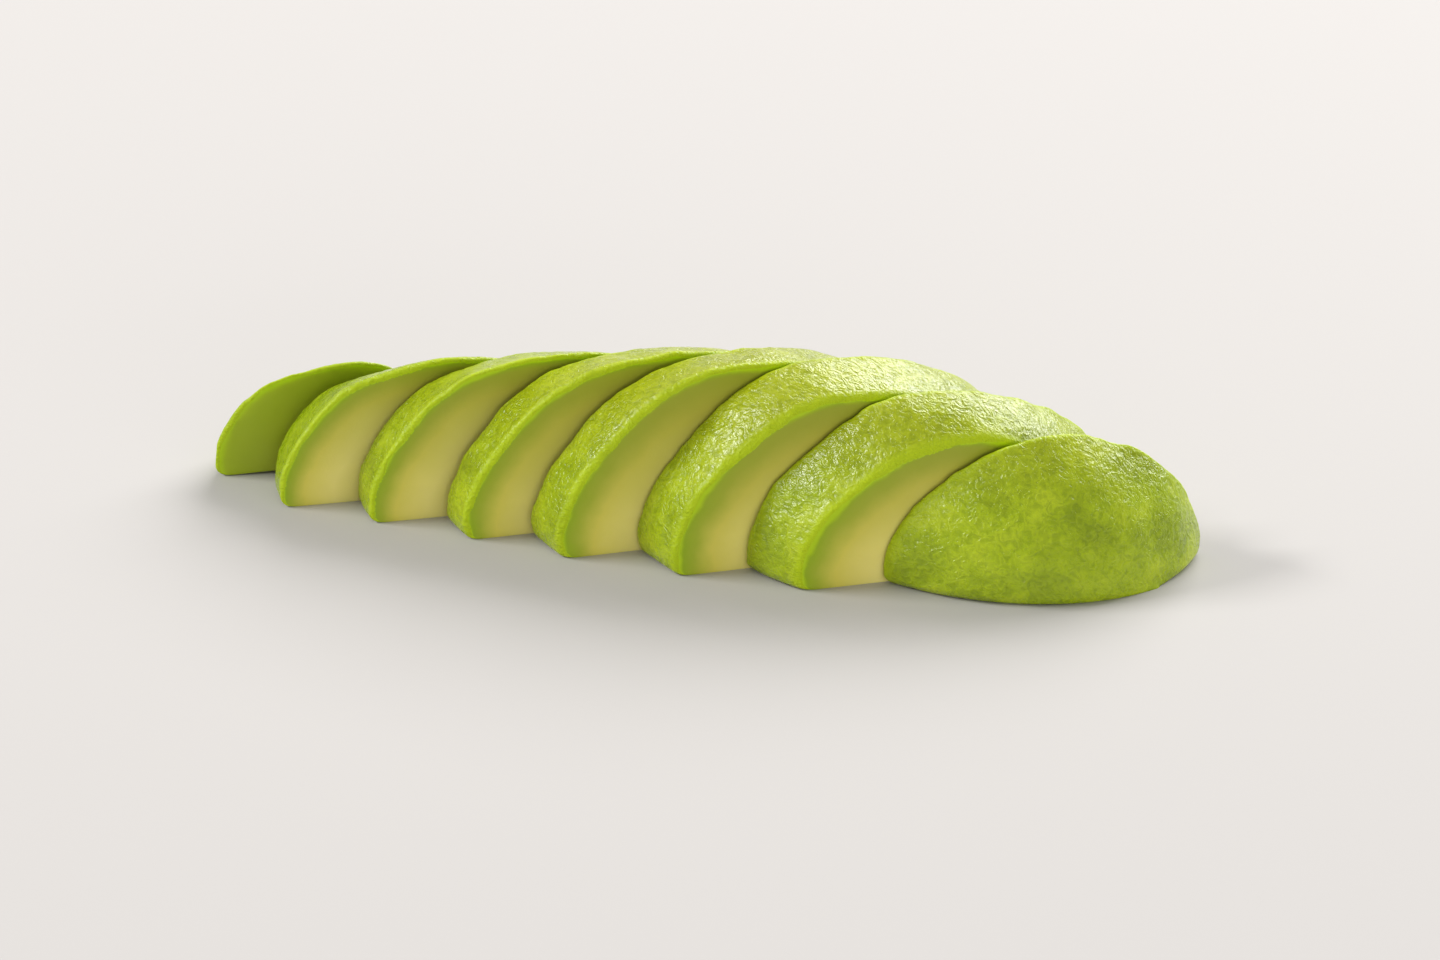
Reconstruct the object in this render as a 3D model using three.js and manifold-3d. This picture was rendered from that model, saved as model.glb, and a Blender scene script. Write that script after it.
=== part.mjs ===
import * as THREE from "three";
import { mergeVertices } from "three/addons/utils/BufferGeometryUtils.js";
import Module from "manifold-3d";

// One half of a peeled avocado without its stone. It lies on its flat side, is sliced
// across into eight and pushed into a fan. Millimetres and degrees, +Z up, with +X from
// the neck slice to the big end. The origin is on the floor under the middle of the fan.

// The half before it was sliced. Its length runs from the neck tip (0) to the blunt end.
const halfLength = 102.4;
const halfWidth = 68.6;
const halfHeight = 34.1;
const widestAt = 0.59; // share of the length
const neckPower = 1.3; // low is a narrow neck
const bluntPower = 2.0; // 2 is a round end
const widthPower = 2.2; // 2 is an ellipse, more is squarer
const heightPower = 1.86;
const footTuck = 0.75; // how far the foot of the side draws in
const footHeight = 7;
const peelWave = 0.42; // low flats that run lengthwise, left by peeling

// The hollow that the stone left, half an egg sunk into the flat side.
const hollowLength = 39;
const hollowWidth = 35;
const hollowDepth = 17;
const hollowAt = 0.6; // share of the length

// The cuts: all one way, set at an angle across the half and leaning a little at the top.
const knifeAngle = 29.8;
const knifeLean = 5.7;
const cuts = [11.2, 23.5, 32.8, 41.9, 52.5, 64.6, 75.8];

// The fan: how far each slice slid along the cut before it, and where each one points.
const slides = [10.2, 13.5, 13.2, 11.4, 13.8, 12.6, 14.7];
const turns = [7.9, 12.7, 13.3, 14.9, 15.9, 15.9, 15.3, 13.3];
const gap = 0.3;
const neckRoll = 3.2; // the neck slice stands on its right end, its left end lifted
const fanTurn = 16.4; // brings the fan's long way onto +X

const names = [
  "slice_1_neck", "slice_2", "slice_3", "slice_4",
  "slice_5", "slice_6", "slice_7", "slice_8_end",
];

// How finely the round side is stepped.
const stationsLong = 40;
const stationsRound = 34;

const wasm = await Module();
wasm.setup();

const rad = THREE.MathUtils.degToRad;
const knife = rad(knifeAngle);
const lean = Math.tan(rad(knifeLean));

function girth(t) {
  const before = t < widestAt;
  const away = before ? (widestAt - t) / widestAt : (t - widestAt) / (1 - widestAt);
  return Math.sqrt(Math.max(0, 1 - away ** (before ? neckPower : bluntPower)));
}

// A point of the round side: t along the length, phi from the right foot over to the left.
function skinPoint(t, phi) {
  const r = girth(t);
  const c = Math.cos(phi);
  const s = Math.max(0, Math.sin(phi));
  let v = (halfWidth / 2) * r * Math.sign(c) * Math.abs(c) ** (2 / widthPower);
  let z = halfHeight * r * s ** (2 / heightPower);
  const u = halfLength * t;
  const wave = Math.cos(6.2 * (phi - 1.92)) + 0.35 * Math.sin(0.17 * u + 2.3 * phi)
    + 0.3 * Math.sin(0.31 * u + 7.7 * phi + 0.4);
  const swell = peelWave * wave * r * Math.sqrt(s);
  v += swell * c;
  z += swell * s;
  const foot = Math.max(0, 1 - z / footHeight) ** 2;
  v -= Math.sign(v) * Math.min(footTuck * foot, Math.abs(v) / 2);
  return new THREE.Vector3(u, v, z);
}

function toSolid(geometry) {
  const bare = geometry.index ? geometry.clone() : geometry;
  bare.deleteAttribute("normal");
  bare.deleteAttribute("uv");
  const merged = mergeVertices(bare, 1e-4);
  const mesh = new wasm.Mesh({
    numProp: 3,
    vertProperties: Float32Array.from(merged.attributes.position.array),
    triVerts: Uint32Array.from(merged.index.array),
  });
  return new wasm.Manifold(mesh);
}

function toGeometry(solid) {
  const mesh = solid.getMesh();
  const points = [];
  for (let i = 0; i < mesh.numVert; i += 1) {
    for (let j = 0; j < 3; j += 1) {
      points.push(mesh.vertProperties[i * mesh.numProp + j]);
    }
  }
  const geometry = new THREE.BufferGeometry();
  geometry.setAttribute("position", new THREE.Float32BufferAttribute(points, 3));
  geometry.setIndex(Array.from(mesh.triVerts));
  geometry.computeVertexNormals();
  return geometry;
}

// The whole half: rings of points round the length, closed by a flat underside.
function makeHalf() {
  const points = [0, 0, 0];
  for (let i = 1; i < stationsLong; i += 1) {
    const t = 0.5 - 0.5 * Math.cos((Math.PI * i) / stationsLong);
    for (let j = 0; j <= stationsRound; j += 1) {
      const p = skinPoint(t, (Math.PI * j) / stationsRound);
      const level = j === 0 || j === stationsRound ? 0 : p.z;
      points.push(p.x, p.y, level);
    }
  }
  points.push(halfLength, 0, 0);
  const ring = stationsRound + 1;
  const last = points.length / 3 - 1;
  const at = (i, j) => 1 + (i - 1) * ring + j;
  const faces = [];
  for (let j = 0; j < stationsRound; j += 1) {
    faces.push(0, at(1, j + 1), at(1, j));
    faces.push(last, at(stationsLong - 1, j), at(stationsLong - 1, j + 1));
  }
  for (let i = 1; i < stationsLong - 1; i += 1) {
    for (let j = 0; j < stationsRound; j += 1) {
      faces.push(at(i, j), at(i + 1, j + 1), at(i + 1, j));
      faces.push(at(i, j), at(i, j + 1), at(i + 1, j + 1));
    }
    faces.push(at(i, stationsRound), at(i + 1, 0), at(i + 1, stationsRound));
    faces.push(at(i, stationsRound), at(i, 0), at(i + 1, 0));
  }
  faces.push(0, at(1, 0), at(1, stationsRound));
  faces.push(last, at(stationsLong - 1, stationsRound), at(stationsLong - 1, 0));
  const geometry = new THREE.BufferGeometry();
  geometry.setAttribute("position", new THREE.Float32BufferAttribute(points, 3));
  geometry.setIndex(faces);
  return toSolid(geometry);
}

function makeHollow() {
  const egg = new THREE.SphereGeometry(1, 36, 22);
  egg.rotateZ(Math.PI / 2);
  egg.scale(hollowLength / 2, hollowWidth / 2, hollowDepth);
  egg.translate(halfLength * hollowAt, 0, 0);
  return toSolid(egg);
}

// The slab of space between two cuts, a box turned by the knife's angle and sheared by its lean.
function makeSlab(from, to) {
  const box = new THREE.BoxGeometry(240, to - from, 120);
  box.translate(0, (from + to) / 2, 0);
  const shear = new THREE.Matrix4().makeShear(0, 0, 0, 0, 0, lean);
  box.applyMatrix4(shear);
  const points = box.attributes.position;
  for (let i = 0; i < points.count; i += 1) {
    const s = points.getX(i);
    const n = points.getY(i);
    points.setXY(i, s * Math.sin(knife) + n * Math.cos(knife), s * Math.cos(knife) - n * Math.sin(knife));
  }
  // that map mirrors the box, so its faces are turned back to face out
  const order = Array.from(box.index.array);
  for (let i = 0; i < order.length; i += 3) {
    [order[i], order[i + 1]] = [order[i + 1], order[i]];
  }
  box.setIndex(order);
  return toSolid(box);
}

// Where a slice lies: turned to its direction and set down with its origin at a plan point.
function placing(turn, x, y) {
  return new THREE.Matrix4().makeTranslation(x, y, 0)
    .multiply(new THREE.Matrix4().makeRotationZ(rad(turn) + knife - Math.PI / 2));
}

function cornersOf(geometry, matrix) {
  const list = [];
  const points = geometry.attributes.position;
  for (let i = 0; i < points.count; i += 1) {
    list.push(new THREE.Vector3().fromBufferAttribute(points, i).applyMatrix4(matrix));
  }
  return list;
}

const along = (turn) => new THREE.Vector2(Math.cos(rad(turn)), Math.sin(rad(turn)));
const ahead = (turn) => new THREE.Vector2(Math.sin(rad(turn)), -Math.cos(rad(turn)));

// Distance of a point in front of the cut through a slice's origin.
function inFront(point, turn, origin) {
  const way = ahead(turn);
  return (point.x - origin.x) * way.x + (point.y - origin.y) * way.y - point.z * lean;
}

const half = makeHalf().subtract(makeHollow());
const edges = [-60, ...cuts, 170];
const slices = names.map((name, k) => toGeometry(half.intersect(makeSlab(edges[k], edges[k + 1]))));

const fan = new THREE.Group();
const flesh = { color: 0x9cc22c, roughness: 0.42, metalness: 0 };
const origins = [new THREE.Vector2(0, 0)];
const matrices = [placing(turns[0], 0, 0)];

// The neck slice is rolled about its right end, level with the cut, until its left end lifts.
{
  const own = cornersOf(slices[0], matrices[0]);
  const way = along(turns[0]);
  const right = Math.max(...own.filter((p) => p.z < 0.01).map((p) => p.x * way.x + p.y * way.y));
  const axis = new THREE.Vector3(ahead(turns[0]).x, ahead(turns[0]).y, 0);
  const pivot = new THREE.Vector3(way.x * right, way.y * right, 0);
  const roll = new THREE.Matrix4().makeTranslation(pivot.x, pivot.y, 0)
    .multiply(new THREE.Matrix4().makeRotationAxis(axis, rad(neckRoll)))
    .multiply(new THREE.Matrix4().makeTranslation(-pivot.x, -pivot.y, 0));
  matrices[0].premultiply(roll);
  const lowest = Math.min(...cornersOf(slices[0], matrices[0]).map((p) => p.z));
  matrices[0].premultiply(new THREE.Matrix4().makeTranslation(0, 0, -lowest));
}

// Each next slice slides along the cut, turns, and is pushed up until the gap is left.
for (let k = 1; k < names.length; k += 1) {
  const cut = cuts[k - 1];
  const before = { turn: turns[k - 1], origin: origins[k - 1] };
  const flat = cornersOf(slices[k], new THREE.Matrix4());
  const face = flat.filter((p) => {
    const n = p.x * Math.cos(knife) - p.y * Math.sin(knife) - p.z * lean;
    return n < cut + 0.01 && p.z < 0.01;
  });
  const leftEnd = Math.min(...face.map((p) => p.x * Math.sin(knife) + p.y * Math.cos(knife)));
  const corner = before.origin.clone()
    .addScaledVector(along(before.turn), leftEnd + slides[k - 1])
    .addScaledVector(ahead(before.turn), cut);
  const origin = corner.clone()
    .addScaledVector(along(turns[k]), -leftEnd)
    .addScaledVector(ahead(turns[k]), -cut);
  const earlier = cornersOf(slices[k - 1], matrices[k - 1]);
  const later = cornersOf(slices[k], placing(turns[k], origin.x, origin.y));
  const pushA = Math.max(...earlier.map((p) => inFront(p, turns[k], origin))) - cut + gap;
  const share = ahead(turns[k]).dot(ahead(before.turn));
  const nearest = Math.min(...later.map((p) => inFront(p, before.turn, before.origin)));
  const pushB = (cut + gap - nearest) / share;
  origin.addScaledVector(ahead(turns[k]), Math.min(pushA, pushB));
  origins.push(origin);
  matrices.push(placing(turns[k], origin.x, origin.y));
}

names.forEach((name, k) => {
  const mesh = new THREE.Mesh(slices[k], new THREE.MeshStandardMaterial(flesh));
  mesh.name = name;
  mesh.applyMatrix4(matrices[k]);
  fan.add(mesh);
});

// The fan is turned to lie along +X and moved until its box stands on the origin.
fan.rotation.z = rad(fanTurn);
fan.updateMatrixWorld(true);
const box = new THREE.Box3().setFromObject(fan, true);
const middle = box.getCenter(new THREE.Vector3());
fan.position.set(-middle.x, -middle.y, -box.min.z);

const avocado = new THREE.Group();
avocado.add(fan);

export default avocado;
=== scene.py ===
import math
import bpy
import bmesh
import numpy as np
from mathutils import Matrix, Vector


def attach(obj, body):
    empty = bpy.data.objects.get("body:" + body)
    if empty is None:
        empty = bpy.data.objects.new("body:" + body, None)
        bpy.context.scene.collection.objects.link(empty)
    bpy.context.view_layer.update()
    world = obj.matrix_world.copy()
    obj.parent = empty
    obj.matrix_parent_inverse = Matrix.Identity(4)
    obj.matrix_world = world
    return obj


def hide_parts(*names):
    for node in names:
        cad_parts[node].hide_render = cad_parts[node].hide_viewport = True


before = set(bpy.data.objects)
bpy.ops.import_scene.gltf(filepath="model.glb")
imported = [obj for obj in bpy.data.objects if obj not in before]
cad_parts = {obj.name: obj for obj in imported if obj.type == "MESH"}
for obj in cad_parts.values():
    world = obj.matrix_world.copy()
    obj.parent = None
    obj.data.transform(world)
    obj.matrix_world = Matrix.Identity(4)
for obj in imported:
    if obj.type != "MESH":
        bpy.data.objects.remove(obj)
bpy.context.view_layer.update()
scene = bpy.context.scene
mm = 0.001

# The half before it was sliced, in millimetres. The length runs from neck tip to blunt end.
half = {
    "length": 102.4,
    "width": 68.6,
    "height": 34.1,
    "widestAt": 0.59,  # share of the length
    "neckPower": 1.3,  # low is a narrow neck
    "bluntPower": 2.0,  # 2 is a round end
    "widthPower": 2.2,  # 2 is an ellipse, more is squarer
    "heightPower": 1.86,
    "footTuck": 0.75,  # how far the foot of the side draws in
    "footHeight": 7.0,
    "peelWave": 0.42,  # low flats that run lengthwise, left by peeling
}

# The hollow that the stone left, half an egg sunk into the flat side
stone = {
    "length": 39.0,
    "width": 35.0,
    "depth": 17.0,
    "at": 0.6,  # share of the half's length
}

# The cuts, all one way
knife = {
    "angle": 29.8,  # degrees across the half
    "lean": 5.7,  # degrees
    "cuts": [11.2, 23.5, 32.8, 41.9, 52.5, 64.6, 75.8],  # mm from the neck tip, square to the cuts
}

# The fan that the slices were pushed into
fan = {
    "slides": [10.2, 13.5, 13.2, 11.4, 13.8, 12.6, 14.7],  # mm along the cut before each slice
    "turns": [7.9, 12.7, 13.3, 14.9, 15.9, 15.9, 15.3, 13.3],  # degrees, where each slice points
    "gap": 0.3,
    "neckRoll": 3.2,  # degrees, lifts the left end of the neck slice
    "wholeTurn": 16.4,  # degrees, brings the fan's long way onto +X
}
names = ["slice_1_neck", "slice_2", "slice_3", "slice_4",
         "slice_5", "slice_6", "slice_7", "slice_8_end"]

cosA = math.cos(math.radians(knife["angle"]))
sinA = math.sin(math.radians(knife["angle"]))
lean = math.tan(math.radians(knife["lean"]))
cuts = knife["cuts"]
lastSlice = len(names) - 1


# Shape of the half: t is the share of its length, phi the angle from the right foot to the left
def skinPoint(t, phi):
    before = t < half["widestAt"]
    away = np.where(before, (half["widestAt"] - t) / half["widestAt"],
                    (t - half["widestAt"]) / (1 - half["widestAt"]))
    power = np.where(before, half["neckPower"], half["bluntPower"])
    girth = np.sqrt(np.clip(1 - np.clip(away, 0, 1) ** power, 0, None))
    c = np.cos(phi)
    s = np.clip(np.sin(phi), 0, None)
    v = half["width"] / 2 * girth * np.sign(c) * np.abs(c) ** (2 / half["widthPower"])
    z = half["height"] * girth * s ** (2 / half["heightPower"])
    u = half["length"] * t
    # the flats: three waves round the arch, and two weaker sets that drift along the fruit
    wave = np.cos(6.2 * (phi - 1.92)) + 0.35 * np.sin(0.17 * u + 2.3 * phi)
    wave = wave + 0.3 * np.sin(0.31 * u + 7.7 * phi + 0.4)
    swell = half["peelWave"] * wave * girth * np.sqrt(s)
    v = v + swell * c
    z = z + swell * s
    foot = np.clip(1 - z / half["footHeight"], 0, None) ** 2
    v = v - np.sign(v) * np.minimum(half["footTuck"] * foot, np.abs(v) / 2)
    return np.stack([u, v, z], -1)


def planeOf(p):
    return p[..., 0] * cosA - p[..., 1] * sinA - p[..., 2] * lean


def meetsCut(cut, phi):
    # the share of the length at which the skin meets a cut, found by halving
    low = np.zeros_like(phi)
    high = np.ones_like(phi)
    halvings = 44
    for step in range(halvings):
        mid = (low + high) / 2
        below = planeOf(skinPoint(mid, phi)) < cut
        low = np.where(below, mid, low)
        high = np.where(below, high, mid)
    return (low + high) / 2


def sliceSpan(k, phi):
    low = meetsCut(cuts[k - 1], phi) if k > 0 else np.zeros_like(phi)
    high = meetsCut(cuts[k], phi) if k < lastSlice else np.ones_like(phi)
    return low, high


def feetAt(cut):
    ends = np.array([0.0, math.pi])
    return skinPoint(meetsCut(cut, ends), ends)


# Where each slice lies
def along(turn):
    return np.array([math.cos(math.radians(turn)), math.sin(math.radians(turn)), 0.0])


def ahead(turn):
    return np.array([math.sin(math.radians(turn)), -math.cos(math.radians(turn)), 0.0])


def placing(turn, origin):
    angle = math.radians(turn + knife["angle"] - 90)
    return Matrix.Translation(Vector(origin)) @ Matrix.Rotation(angle, 4, "Z")


def moved(points, matrix):
    m = np.array(matrix)
    return points @ m[:3, :3].T + m[:3, 3]


def roughShell(k):
    # the slice's outside in steps just fine enough to place it by
    roundArch = 121
    across = 13
    phi = np.linspace(0, math.pi, roundArch)
    steps = np.linspace(0, 1, across)[:, None]
    low, high = sliceSpan(k, phi)
    return skinPoint(low + steps * (high - low), phi + 0 * steps).reshape(-1, 3)


def rolledNeck(shell, turn):
    # the neck slice is rolled about its right end until its left end lifts
    onFloor = 0.01
    matrix = placing(turn, np.zeros(3))
    own = moved(shell, matrix)
    right = max(own[own[:, 2] < onFloor] @ along(turn))
    pivot = Vector(along(turn) * right)
    roll = Matrix.Rotation(math.radians(fan["neckRoll"]), 4, Vector(ahead(turn)))
    matrix = Matrix.Translation(pivot) @ roll @ Matrix.Translation(-pivot) @ matrix
    lowest = moved(shell, matrix)[:, 2].min()
    return Matrix.Translation((0, 0, -lowest)) @ matrix


def placeSlices():
    shells = [roughShell(k) for k in range(len(names))]
    turns = fan["turns"]
    origins = [np.zeros(3)]
    matrices = [rolledNeck(shells[0], turns[0])]
    # each next one slides along the cut, turns, and is pushed up until the gap is left
    for k in range(1, len(names)):
        cut = cuts[k - 1]
        feet = feetAt(cut)
        left = min(feet[:, 0] * sinA + feet[:, 1] * cosA)
        corner = origins[-1] + along(turns[k - 1]) * (left + fan["slides"][k - 1])
        corner = corner + ahead(turns[k - 1]) * cut
        origin = corner - along(turns[k]) * left - ahead(turns[k]) * cut
        earlier = moved(shells[k - 1], matrices[k - 1])
        later = moved(shells[k], placing(turns[k], origin))
        reach = (earlier - origin) @ ahead(turns[k]) - earlier[:, 2] * lean
        pushA = reach.max() - cut + fan["gap"]
        behind = (later - origins[-1]) @ ahead(turns[k - 1]) - later[:, 2] * lean
        pushB = (cut + fan["gap"] - behind.min()) / (ahead(turns[k]) @ ahead(turns[k - 1]))
        origin = origin + ahead(turns[k]) * min(pushA, pushB)
        origins.append(origin)
        matrices.append(placing(turns[k], origin))
    whole = Matrix.Rotation(math.radians(fan["wholeTurn"]), 4, "Z")
    everything = np.concatenate([moved(s, whole @ m) for s, m in zip(shells, matrices)])
    middle = (everything.min(0) + everything.max(0)) / 2
    centred = Matrix.Translation((-middle[0], -middle[1], 0)) @ whole
    return [centred @ m for m in matrices]


# One slice as a fine mesh, in millimetres
relief = {
    "columns": 380,  # steps round the arch
    "rowStep": 0.28,  # between rows across a slice
    "edgeRows": [0.0, 0.07, 0.16, 0.28, 0.44, 0.66],  # rows beside a cut, closer together
    "innerFrom": 1.0,  # where the even rows begin, from a cut
    "edgeZone": 0.9,  # the same for the neck and end slices
    "neckRows": 84,
    "endRows": 150,
    "endReach": 16.0,  # stands for the thickness of the neck and end slices
    "rings": 16,  # steps from the skin inwards on a cut face
    "ringPower": 1.7,  # over 1 puts the rings closer together under the skin
    "edgeRound": 0.9,
    "footRound": 1.9,  # the foot of the peeled side curls under
    "footFade": 1.5,  # the relief dies away from this height down to the foot
    "edgeReach": 2.5,  # how far in from a cut the edge waves reach
    "holdFrom": 0.1,  # up to here from a cut the relief moves only within the cut
    "holdReach": 1.2,  # and this far on it comes free
}

# Its bumps: height (mm, or share of the edge's roundness), breadth (mm), breadth as a share
# of the length along the fruit, and the seed
bumps = {
    "flats": (0.42, 10.0, 0.45, 3),  # wide flats left by peeling
    "ripples": (0.14, 3.4, 0.45, 7),
    "dimples": (0.075, 1.25, 0.75, 11),
    "pits": (0.05, 0.7, 1.0, 23),
    "edgeWaves": (0.4, 4.5, 1.0, 41),  # where the knife pushed the edge in and out
    "edgeNicks": (0.3, 2.4, 1.0, 31),  # share, small and quick
    "edgeDrags": (0.6, 13.0, 1.0, 37),  # share, broad and slow
}


def lumps(points, size, seed):
    # smooth random relief from -1 to 1, with bumps about one size across
    cells = 24
    lattice = np.random.default_rng(seed).uniform(-1, 1, (cells, cells, cells))
    place = points / size + 10.0 * cells
    cell = np.floor(place).astype(int)
    f = place - cell
    f = f * f * (3 - 2 * f)
    total = 0.0
    for corner in range(8):
        d = [(corner >> axis) & 1 for axis in range(3)]
        weight = 1.0
        for axis in range(3):
            weight = weight * (f[..., axis] if d[axis] else 1 - f[..., axis])
        i, j, k = [(cell[..., axis] + d[axis]) % cells for axis in range(3)]
        total = total + weight * lattice[i, j, k]
    return total


def bumpsOf(kind, fruit):
    height, size, squeeze, seed = bumps[kind]
    return height * lumps(fruit * np.array([squeeze, 1.0, 1.0]), size, seed)


def centreAt(cut):
    # the middle of a cut: half way between its feet, or half way across the hollow
    clearOfHollow = 30
    if cut < clearOfHollow:
        feet = feetAt(cut)
        return np.array([feet[:, 0].mean(), feet[:, 1].mean(), 0.0])
    a2 = (stone["length"] / 2) ** 2
    b2 = (stone["width"] / 2) ** 2
    start = half["length"] * stone["at"]
    p = (cut - start * cosA) / (cosA + sinA * sinA * b2 / (a2 * cosA))
    return np.array([start + p, -p * sinA * b2 / (a2 * cosA), 0.0])


def hollowShare(centre, outer):
    # share of the way from the centre line to the skin at which the hollow's wall stands
    axes = np.array([stone["length"] / 2, stone["width"] / 2, stone["depth"]])
    start = (centre - np.array([half["length"] * stone["at"], 0, 0])) / axes
    way = (outer - centre) / axes
    a = (way * way).sum(-1)
    b = (start * way).sum(-1)
    c = (start * start).sum(-1) - 1
    root = np.sqrt(np.clip(b * b - a * c, 0, None))
    most = 0.98  # the wall never comes quite up to the skin
    return np.where(c < 0, np.clip((-b + root) / a, 0, most), 0.0)


def sliceRows(k):
    # how far each row is from the first cut, closest beside the cuts and at the two tips
    thick = cuts[k] - cuts[k - 1] if 0 < k < lastSlice else relief["endReach"]
    atFirst = relief["edgeRows"]
    atLast = [thick - e for e in reversed(atFirst)]
    if k == 0:
        spread = thick * (1 - np.cos(np.linspace(0, math.pi / 2, relief["neckRows"])))
        rows = [r for r in spread if r < thick - relief["edgeZone"]] + atLast
    elif k == lastSlice:
        spread = thick * np.sin(np.linspace(0, math.pi / 2, relief["endRows"]))
        rows = atFirst + [r for r in spread if r > relief["edgeZone"]]
    else:
        start = relief["innerFrom"]
        spread = np.linspace(start, thick - start, int(thick / relief["rowStep"]))
        rows = atFirst + list(spread) + atLast
    return np.array(rows), thick


def skinNormal(t, arc, outward):
    stepAlong = 0.002
    stepRound = 0.004
    du = skinPoint(np.clip(t + stepAlong, 0, 1), arc) - skinPoint(np.clip(t - stepAlong, 0, 1), arc)
    after = skinPoint(t, np.clip(arc + stepRound, 0, math.pi))
    dp = after - skinPoint(t, np.clip(arc - stepRound, 0, math.pi))
    normal = np.cross(dp, du)
    size = np.linalg.norm(normal, axis=-1, keepdims=True)
    normal = np.where(size > 1e-9, normal / np.maximum(size, 1e-9), 0)
    return normal * np.sign((normal * outward).sum(-1, keepdims=True))


def roundedOff(radius, distance):
    # how far a rounded edge falls short of a sharp one, at a distance from it
    inside = np.clip(radius - distance, 0, None)
    return radius - np.sqrt(np.clip(radius * radius - inside * inside, 0, None))


def peeledSide(outer, centre, normal, nearest):
    # relief along the surface normal, none at the foot
    height = bumpsOf("flats", outer) + bumpsOf("ripples", outer)
    height = height + bumpsOf("dimples", outer) + bumpsOf("pits", outer)
    height = height + bumpsOf("edgeWaves", outer) * np.exp(-nearest / relief["edgeReach"])
    footFade = np.clip(outer[..., 2] / relief["footFade"], 0, 1)
    away = normal * (height * footFade)[..., None]
    # close to a cut the relief moves only within the cut, so the cut faces stay flat
    across = np.array([cosA, -sinA, -lean]) / math.hypot(1, lean)
    hold = np.exp(-np.clip(nearest - relief["holdFrom"], 0, None) / relief["holdReach"])[..., None]
    skinned = outer + away - across * (away @ across)[..., None] * hold
    # the cut edges are rounded over, more in some places than in others, and the foot curls under
    nick = 1 + bumpsOf("edgeNicks", outer) + bumpsOf("edgeDrags", outer)
    drop = roundedOff(relief["edgeRound"] * nick, nearest)
    drop = drop + roundedOff(relief["footRound"], outer[..., 2])
    most = 0.5  # of the way to the middle, at the thin tips
    ray = centre - skinned
    length = np.linalg.norm(ray, axis=-1, keepdims=True)
    skinned = skinned + ray / np.maximum(length, 1e-6) * np.minimum(drop[..., None], length * most)
    skinned[:, 0, 2] = 0
    skinned[:, -1, 2] = 0
    return skinned


def buildSlice(k, matrix):
    phi = np.linspace(0, math.pi, relief["columns"] + 1)
    low, high = sliceSpan(k, phi)
    rows, thick = sliceRows(k)
    share = (rows / thick)[:, None]
    t = low + share * (high - low)
    arc = phi + 0 * t
    outer = skinPoint(t, arc)
    first = centreAt(cuts[k - 1]) if k > 0 else np.zeros(3)
    last = centreAt(cuts[k]) if k < lastSlice else np.array([half["length"], 0.0, 0.0])
    centre = (first + share * (last - first))[:, None, :] + 0 * outer
    # distance to the nearest cut, where the tips of the fruit count as far from one
    farOff = 9.0
    toFirst = rows if k > 0 else rows + farOff
    toLast = thick - rows if k < lastSlice else thick - rows + farOff
    nearest = np.minimum(toFirst, toLast)[:, None]
    skinned = peeledSide(outer, centre, skinNormal(t, arc, outer - centre), nearest)
    inner = centre + (outer - centre) * hollowShare(centre, outer)[..., None]
    rings = (np.linspace(0, 1, relief["rings"] + 1) ** relief["ringPower"])[:, None, None]
    # patches of the closed skin: points, the outside they lie under, the material, distance to a cut
    patches = [(skinned, skinned, 0, nearest), (inner, outer, 1, 0.0)]
    for side, wanted in ((0, k > 0), (-1, k < lastSlice)):
        if wanted:
            face = skinned[side] + rings * (inner[side] - skinned[side])
            patches.append((face, outer[side], 1, 0.0))
    for column in (0, -1):
        strip = skinned[:, column] + rings * (inner[:, column] - skinned[:, column])
        patches.append((strip, outer[:, column], 1, 0.0))
    return joinPatches(names[k], patches, matrix)


def joinPatches(name, patches, matrix):
    fruit, under, edge, quads, kinds = [], [], [], [], []
    base = 0
    for points, outside, kind, toCut in patches:
        r, c = points.shape[:2]
        index = base + np.arange(r * c).reshape(r, c)
        quad = np.stack([index[:-1, :-1], index[1:, :-1], index[1:, 1:], index[:-1, 1:]], -1)
        depth = np.linalg.norm(points - outside, axis=-1)
        quads.append(quad.reshape(-1, 4))
        kinds.append(np.full(len(quads[-1]), kind))
        fruit.append(points.reshape(-1, 3))
        under.append(depth.reshape(-1))
        edge.append((toCut + 0 * depth).reshape(-1))
        base += r * c
    fruit, under, edge = np.concatenate(fruit), np.concatenate(under), np.concatenate(edge)
    mesh = bpy.data.meshes.new(name + "_flesh")
    mesh.from_pydata((moved(fruit, matrix) * mm).tolist(), [], np.concatenate(quads).tolist())
    # the materials read these, in mm: place in the uncut fruit, depth and distance from a cut
    mesh.attributes.new("fruit", "FLOAT_VECTOR", "POINT").data.foreach_set("vector", fruit.ravel())
    mesh.attributes.new("under", "FLOAT", "POINT").data.foreach_set("value", under)
    mesh.attributes.new("edge", "FLOAT", "POINT").data.foreach_set("value", edge)
    mesh.polygons.foreach_set("material_index", np.concatenate(kinds))
    # the patches are joined into one closed skin
    weld = 2e-6
    tooShort = 1e-7
    sharpFrom = 50
    work = bmesh.new()
    work.from_mesh(mesh)
    bmesh.ops.remove_doubles(work, verts=work.verts, dist=weld)
    bmesh.ops.dissolve_degenerate(work, edges=work.edges, dist=tooShort)
    bmesh.ops.recalc_face_normals(work, faces=work.faces)
    notClosed = sum(1 for e in work.edges if len(e.link_faces) != 2)
    work.to_mesh(mesh)
    work.free()
    mesh.polygons.foreach_set("use_smooth", np.ones(len(mesh.polygons), bool))
    mesh.set_sharp_from_angle(angle=math.radians(sharpFrom))
    piece = bpy.data.objects.new(name + "_flesh", mesh)
    scene.collection.objects.link(piece)
    print("built", name, len(mesh.polygons), "faces, edges not closed", notClosed)
    return piece


# Materials. The fruit's own coordinates are in mm, so a pattern's scale is one over its size.
def colour(code):
    channels = [int(code[i:i + 2], 16) / 255 for i in (1, 3, 5)]
    linear = [c / 12.92 if c <= 0.04045 else ((c + 0.055) / 1.055) ** 2.4 for c in channels]
    return (*linear, 1.0)


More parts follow.
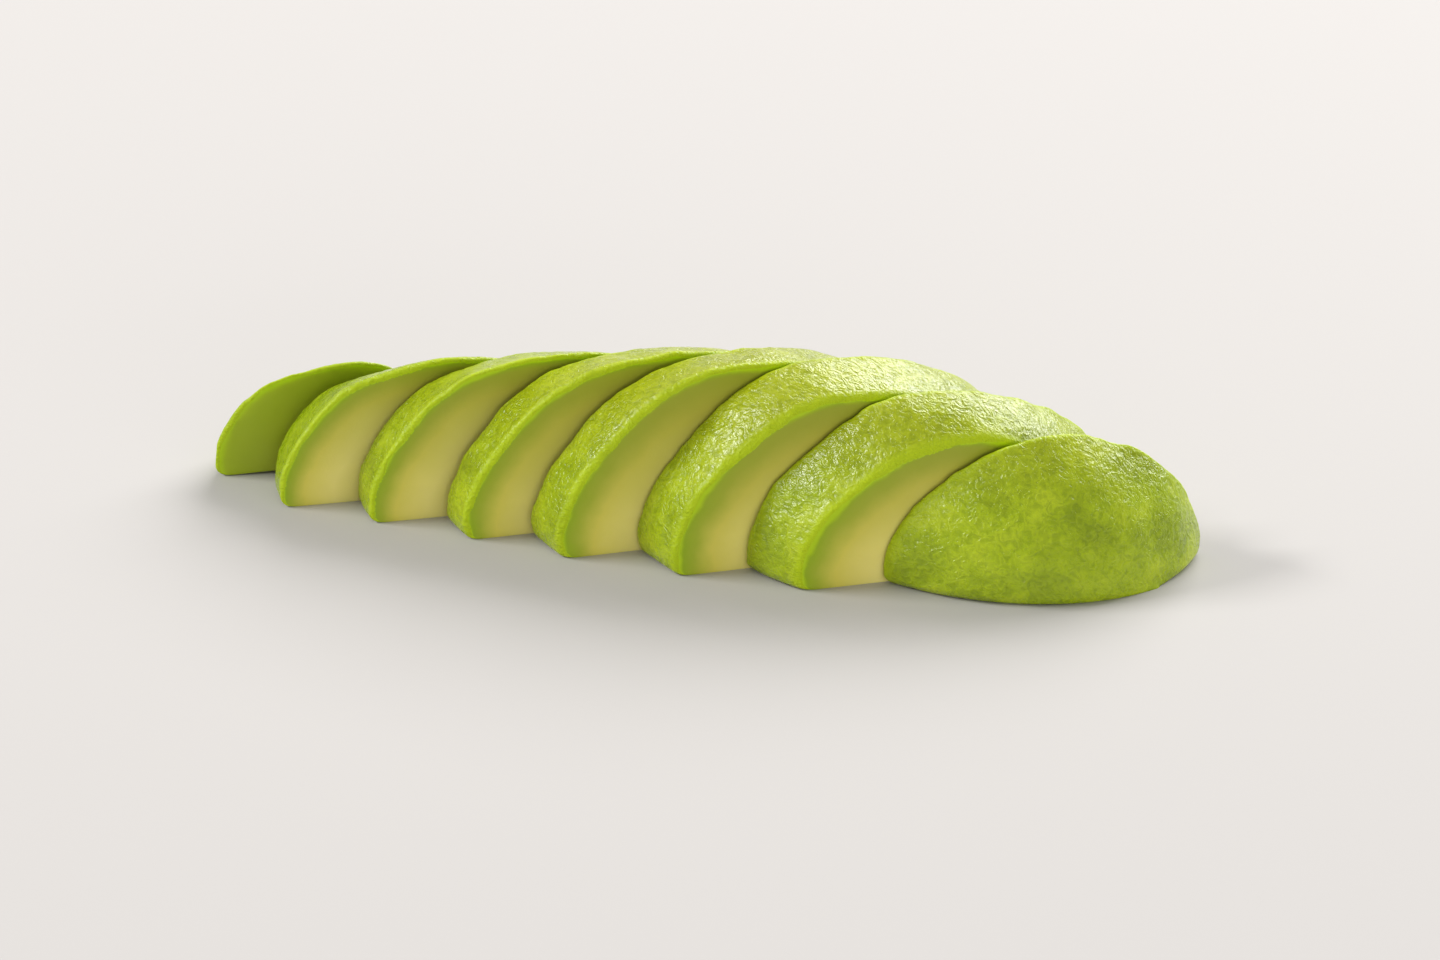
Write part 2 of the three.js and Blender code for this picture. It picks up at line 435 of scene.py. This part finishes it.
def newTree(name):
    material = bpy.data.materials.new(name)
    material.use_nodes = True
    material.node_tree.nodes.clear()
    return material, material.node_tree


def addNode(tree, kind, values=None, links=None, stops=None, **settings):
    node = tree.nodes.new(kind)
    for key, value in settings.items():
        setattr(node, key, value)
    for key, value in (values or {}).items():
        node.inputs[key].default_value = value
    for key, source in (links or {}).items():
        tree.links.new(source, node.inputs[key])
    if stops:
        ramp = node.color_ramp
        while len(ramp.elements) < len(stops):
            ramp.elements.new(0.5)
        for element, (place, shade) in zip(ramp.elements, stops):
            element.position = place
            element.color = colour(shade)
    return node


def peeledMaterial():
    # the scraped, moist outside: broken gloss over short fibres that run along the fruit
    look = {
        "olive": "#93a70a",
        "bright": "#a2b70c",
        "pale": "#b2c41c",
        "crown": "#a8b016",  # the highest part of the arch, yellower
        "neck": "#86a004",
        # the rim beside a cut: partly the edge's own lime, partly painted light, the glow of the thin
        # edge lit from behind
        "rim": "#b4cb08",
        "groove": "#cbd290",  # painted shade, laid over the rest between the fibres
        "crease": "#b9c25e",  # painted shade, laid over the rest between the wrinkles
        "grooveShare": 0.2,
        "creaseShare": 0.4,
        "patchSize": 8.0,  # mm
        "wrinkleSize": 1.8,  # mm
        "fibreSize": 0.62,  # mm, coarser than real fibres so that they show
        "slender": 0.78,  # breadth of wrinkles and fibres as a share of their length
        "wrinkleShare": 0.4,  # of the bump, beside the fibres
        "bumpHeight": 0.24,  # mm
        "filmHeight": 0.1,  # mm, the moist film follows the same relief more gently
        "rimRoughness": 0.35,  # more beside a cut, where the film has dried
        "soft": 0.3,
    }
    # where each starts and ends (mm), and its share there
    zones = {
        "crown": (16.0, 34.0, 0.0, 0.8),  # above the flat side
        "neck": (14.0, 44.0, 0.55, 0.0),  # from the neck tip
        "rim": (0.2, 1.5, 0.75, 0.0),  # from a cut; the lime there is partly the edge's own colour, partly painted light
        "film": (0.4, 2.2, 0.05, 0.27),  # from a cut
        "gloss": (0.38, 0.62, 0.2, 0.34),  # from the patches' pattern to roughness
    }
    material, tree = newTree("avocado_outer_flesh_scraped_by_the_peeler_and_moist")
    fruit = addNode(tree, "ShaderNodeAttribute", attribute_name="fruit").outputs["Vector"]
    edge = addNode(tree, "ShaderNodeAttribute", attribute_name="edge").outputs["Fac"]
    parts = addNode(tree, "ShaderNodeSeparateXYZ", None, {"Vector": fruit})
    place = addNode(tree, "ShaderNodeVectorMath", {1: (cosA, -sinA, 0)}, {0: fruit},
                    operation="DOT_PRODUCT")
    long = addNode(tree, "ShaderNodeMapping", {"Scale": (look["slender"], 1.0, 1.0)}, {"Vector": fruit})
    patches = addNode(tree, "ShaderNodeTexNoise",
                      {"Scale": 1 / look["patchSize"], "Detail": 4.0, "Roughness": 0.55},
                      {"Vector": fruit})
    wrinkles = addNode(tree, "ShaderNodeTexNoise",
                       {"Scale": 1 / look["wrinkleSize"], "Detail": 2.0, "Roughness": 0.5,
                        "Distortion": 1.3, "Offset": 0.9, "Gain": 1.2},
                       {"Vector": long.outputs["Vector"]},
                       noise_type="RIDGED_MULTIFRACTAL", normalize=False)
    fibres = addNode(tree, "ShaderNodeTexNoise",
                     {"Scale": 1 / look["fibreSize"], "Detail": 2.0, "Roughness": 0.55,
                      "Distortion": 0.5},
                     {"Vector": long.outputs["Vector"]})
    sources = {
        "crown": parts.outputs["Z"],
        "neck": place.outputs["Value"],
        "rim": edge,
        "film": edge,
        "gloss": patches.outputs["Fac"],
    }
    shares = {}
    for name, (start, end, atStart, atEnd) in zones.items():
        zone = addNode(tree, "ShaderNodeMapRange",
                       {"From Min": start, "From Max": end, "To Min": atStart, "To Max": atEnd},
                       {"Value": sources[name]})
        shares[name] = zone.outputs["Result"]
    base = addNode(tree, "ShaderNodeValToRGB", None, {"Fac": patches.outputs["Fac"]},
                   [(0.36, look["olive"]), (0.5, look["bright"]), (0.64, look["pale"])])
    # painted shade: darker in the grooves between the fibres and in the creases between the wrinkles,
    # where shade would fall
    paintedGrooveShade = addNode(tree, "ShaderNodeValToRGB", None, {"Fac": fibres.outputs["Fac"]},
                      [(0.34, look["groove"]), (0.6, "#ffffff")])
    paintedCreaseShade = addNode(tree, "ShaderNodeValToRGB", None, {"Fac": wrinkles.outputs["Fac"]},
                      [(0.25, look["crease"]), (0.8, "#ffffff")])
    # the colours go over one another: crown and neck, the painted shade in the grooves and creases, and
    # the rim last, which is partly painted light
    layers = [
        ("MIX", {"B": colour(look["crown"])}, {"Factor": shares["crown"]}),
        ("MIX", {"B": colour(look["neck"])}, {"Factor": shares["neck"]}),
        ("MULTIPLY", {"Factor": look["grooveShare"]}, {"B": paintedGrooveShade.outputs["Color"]}),
        ("MULTIPLY", {"Factor": look["creaseShare"]}, {"B": paintedCreaseShade.outputs["Color"]}),
        ("MIX", {"B": colour(look["rim"])}, {"Factor": shares["rim"]}),
    ]
    tone = base.outputs["Color"]
    for blend, values, links in layers:
        layer = addNode(tree, "ShaderNodeMix", values, {"A": tone, **links},
                        data_type="RGBA", blend_type=blend)
        tone = layer.outputs["Result"]
    height = addNode(tree, "ShaderNodeMath", {1: look["wrinkleShare"]},
                     {0: wrinkles.outputs["Fac"], 2: fibres.outputs["Fac"]}, operation="MULTIPLY_ADD")
    bump = addNode(tree, "ShaderNodeBump", {"Strength": 1.0, "Distance": look["bumpHeight"] * mm},
                   {"Height": height.outputs[0]})
    film = addNode(tree, "ShaderNodeBump", {"Strength": 1.0, "Distance": look["filmHeight"] * mm},
                   {"Height": height.outputs[0]})
    rough = addNode(tree, "ShaderNodeMath", {1: look["rimRoughness"]},
                    {0: shares["rim"], 2: shares["gloss"]}, operation="MULTIPLY_ADD")
    shader = addNode(tree, "ShaderNodeBsdfPrincipled",
                     {"Subsurface Weight": look["soft"], "Subsurface Radius": (1.0, 1.0, 0.2),
                      "Subsurface Scale": 1 * mm, "IOR": 1.4, "Coat Roughness": 0.2},
                     {"Base Color": tone, "Roughness": rough.outputs[0], "Coat Weight": shares["film"],
                      "Normal": bump.outputs["Normal"], "Coat Normal": film.outputs["Normal"]})
    addNode(tree, "ShaderNodeOutputMaterial", None, {"Surface": shader.outputs[0]})
    return material


def cutMaterial():
    # the knife-cut inside: smooth and buttery, green under the peel and yellow towards the stone
    look = {
        "rim": "#aeca10",
        "olive": "#92ab1c",
        "near": "#a1ae2f",
        "middle": "#d2c857",
        "deep": "#ecdf84",
        "arch": "#9d9c33",  # painted shade: darker olive high under the arch, where the next slice overhangs the cut face; up there it is also closer to the outside all round
        "neck": "#a3b323",
        "reach": 20.0,  # mm from the outside to the palest yellow
        "driftSize": 5.0,  # mm, the bands of colour wander a little
        "knifeSize": 0.7,  # mm, faint roughness left by the knife
        "knifeHeight": 0.06,  # mm
        "soft": 0.35,
    }
    # where each starts and ends (mm), and its share there
    zones = {
        "arch": (7.0, 27.0, 0.0, 0.7),  # above the flat side, so the painted shade grows with height
        "neck": (12.0, 22.0, 0.8, 0.0),  # from the neck tip
        "inner": (0.9, 2.0, 0.0, 1.0),  # from the outside
        "neckPace": (10.0, 22.0, 0.45, 1.5),  # the neck stays green, the next slices pale quickly
        "thickPace": (23.0, 54.0, 1.0, 0.67),  # and the thick ones slowly
        "drift": (0.0, 1.0, -1.2, 1.2),  # from its pattern to mm, to and fro
    }
    material, tree = newTree("avocado_inner_flesh_cut_smooth_by_the_knife")
    fruit = addNode(tree, "ShaderNodeAttribute", attribute_name="fruit").outputs["Vector"]
    under = addNode(tree, "ShaderNodeAttribute", attribute_name="under").outputs["Fac"]
    parts = addNode(tree, "ShaderNodeSeparateXYZ", None, {"Vector": fruit})
    place = addNode(tree, "ShaderNodeVectorMath", {1: (cosA, -sinA, 0)}, {0: fruit},
                    operation="DOT_PRODUCT")
    drift = addNode(tree, "ShaderNodeTexNoise", {"Scale": 1 / look["driftSize"], "Detail": 3.0},
                    {"Vector": fruit})
    sources = {
        "arch": parts.outputs["Z"],
        "neck": place.outputs["Value"],
        "inner": under,
        "neckPace": place.outputs["Value"],
        "thickPace": place.outputs["Value"],
        "drift": drift.outputs["Fac"],
    }
    shares = {}
    for name, (start, end, atStart, atEnd) in zones.items():
        zone = addNode(tree, "ShaderNodeMapRange",
                       {"From Min": start, "From Max": end, "To Min": atStart, "To Max": atEnd},
                       {"Value": sources[name]})
        shares[name] = zone.outputs["Result"]
    pace = addNode(tree, "ShaderNodeMath", None, {0: shares["neckPace"], 1: shares["thickPace"]},
                   operation="MULTIPLY")
    depth = addNode(tree, "ShaderNodeMath", None, {0: under, 1: pace.outputs[0], 2: shares["drift"]},
                    operation="MULTIPLY_ADD")
    scaled = addNode(tree, "ShaderNodeMath", {1: look["reach"]}, {0: depth.outputs[0]},
                     operation="DIVIDE")
    bands = addNode(tree, "ShaderNodeValToRGB", None, {"Fac": scaled.outputs[0]},
                    [(0.045, look["rim"]), (0.085, look["olive"]), (0.17, look["near"]),
                     (0.34, look["middle"]), (0.72, look["deep"])])
    # the painted shade under the arch and the neck's green stay clear of the green line just inside the
    # edge
    tone = bands.outputs["Color"]
    for name in ("arch", "neck"):
        share = addNode(tree, "ShaderNodeMath", None, {0: shares[name], 1: shares["inner"]},
                        operation="MULTIPLY")
        layer = addNode(tree, "ShaderNodeMix", {"B": colour(look[name])},
                        {"Factor": share.outputs[0], "A": tone}, data_type="RGBA")
        tone = layer.outputs["Result"]
    fine = addNode(tree, "ShaderNodeTexNoise", {"Scale": 1 / look["knifeSize"], "Detail": 3.0},
                   {"Vector": fruit})
    bump = addNode(tree, "ShaderNodeBump", {"Strength": 0.6, "Distance": look["knifeHeight"] * mm},
                   {"Height": fine.outputs["Fac"]})
    shader = addNode(tree, "ShaderNodeBsdfPrincipled",
                     {"Subsurface Weight": look["soft"], "Subsurface Radius": (1.0, 0.95, 0.35),
                      "Subsurface Scale": 2 * mm, "IOR": 1.42, "Roughness": 0.42},
                     {"Base Color": tone, "Normal": bump.outputs["Normal"]})
    addNode(tree, "ShaderNodeOutputMaterial", None, {"Surface": shader.outputs[0]})
    return material


outerFlesh = peeledMaterial()
cutFlesh = cutMaterial()
print("materials made")
for k, matrix in enumerate(placeSlices()):
    piece = buildSlice(k, matrix)
    piece.data.materials.append(outerFlesh)
    piece.data.materials.append(cutFlesh)
    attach(piece, "root")
    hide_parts(names[k])


# Floor, light and camera, in metres
studio = {
    "floor": "#bdbab8",
    "floorReach": 6.0,
    "world": 0.42,
    "worldTint": (0.95, 0.94, 0.91, 1),
}

# name, place, length and width, watts, tint and whether it shows in the shine: the fill only
# lifts the cut faces, without a veil over the moist outside
lights = [
    ("soft_from_the_left", (-1.575, -0.455, 1.147), (0.85, 0.3), 30.0, (1.0, 0.99, 0.98), True),
    ("soft_from_behind", (0.55, 1.72, 1.28), (2.2, 1.3), 70.0, (1.0, 0.99, 0.98), True),
    ("fill_from_the_front", (1.25, -1.5, 0.32), (2.2, 0.5), 15.0, (1.0, 1.0, 1.0), False),
]
view = {
    "elevation": 24.0,  # degrees
    "distance": 1.31,
    "target": (-1.06 * mm, 18.84 * mm, 0),
    "lens": 185.0,  # mm, and so is the sensor
    "sensor": 36,
    "nearest": 0.05,
    "farthest": 30,
}


def makeFloor():
    # matt paint: plain and pale, it takes a soft shadow and gives no reflection
    material, tree = newTree("pale_matt_studio_floor")
    shader = addNode(tree, "ShaderNodeBsdfPrincipled",
                     {"Base Color": colour(studio["floor"]), "Roughness": 0.8})
    addNode(tree, "ShaderNodeOutputMaterial", None, {"Surface": shader.outputs[0]})
    reach = studio["floorReach"]
    corners = [(-reach, -reach, 0), (reach, -reach, 0), (reach, reach, 0), (-reach, reach, 0)]
    mesh = bpy.data.meshes.new("floor")
    mesh.from_pydata(corners, [], [(0, 1, 2, 3)])
    mesh.materials.append(material)
    floor = bpy.data.objects.new("floor", mesh)
    scene.collection.objects.link(floor)


def addLight(name, place, size, power, tint, shine):
    data = bpy.data.lights.new(name, "AREA")
    data.shape = "RECTANGLE"
    data.size, data.size_y = size
    data.energy = power
    data.color = tint
    lamp = bpy.data.objects.new(name, data)
    lamp.location = place
    lamp.rotation_euler = (-Vector(place)).to_track_quat("-Z", "Y").to_euler()
    lamp.visible_glossy = shine
    scene.collection.objects.link(lamp)


def setWorld():
    world = bpy.data.worlds.new("studio")
    scene.world = world
    world.use_nodes = True
    background = world.node_tree.nodes["Background"]
    background.inputs[0].default_value = studio["worldTint"]
    background.inputs[1].default_value = studio["world"]
    scene.view_settings.view_transform = "Standard"  # plain colours, as a catalogue photograph has


def placeCamera():
    data = bpy.data.cameras.new("camera")
    data.lens = view["lens"]
    data.sensor_width = view["sensor"]
    data.clip_start = view["nearest"]
    data.clip_end = view["farthest"]
    camera = bpy.data.objects.new("camera", data)
    a = math.radians(fan["wholeTurn"])
    e = math.radians(view["elevation"])
    back = Vector((math.sin(a) * math.cos(e), -math.cos(a) * math.cos(e), math.sin(e)))
    camera.location = Vector(view["target"]) + back * view["distance"]
    camera.rotation_euler = (-back).to_track_quat("-Z", "Y").to_euler()
    scene.collection.objects.link(camera)
    scene.camera = camera


makeFloor()
for light in lights:
    addLight(*light)
setWorld()
placeCamera()
print("floor, lights and camera placed")
